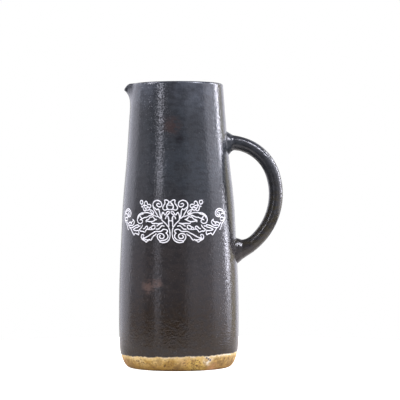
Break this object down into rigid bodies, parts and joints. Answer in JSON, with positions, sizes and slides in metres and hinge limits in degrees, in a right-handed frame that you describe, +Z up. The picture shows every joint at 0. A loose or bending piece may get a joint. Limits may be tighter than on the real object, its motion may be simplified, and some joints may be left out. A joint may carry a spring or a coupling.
{
  "type": "pouring jug",
  "caption": "Tall glazed stoneware pouring jug: tapering thrown wall, pinched spout, looped side handle, bare clay foot.",
  "frame": {"origin": "centre of the foot, on the plane that the jug stands on", "axes": "+Z up the jug's axis, -X towards the spout, +X towards the handle"},
  "size_m": [0.1758, 0.128, 0.3015],
  "materials": {
    "bare_clay": "unglazed buff stoneware, speckled",
    "dark_glaze": "satin gloss charcoal glaze",
    "white_print": "thin raised off-white line print under a satin glaze"
  },
  "bodies": {
    "root": {"clay_body": "bare_clay", "handle": "bare_clay", "upper_joint": "bare_clay", "lower_joint": "bare_clay", "outer_glaze": "dark_glaze", "liner_glaze": "dark_glaze", "handle_glaze": "dark_glaze"}
  },
  "joints": []
}
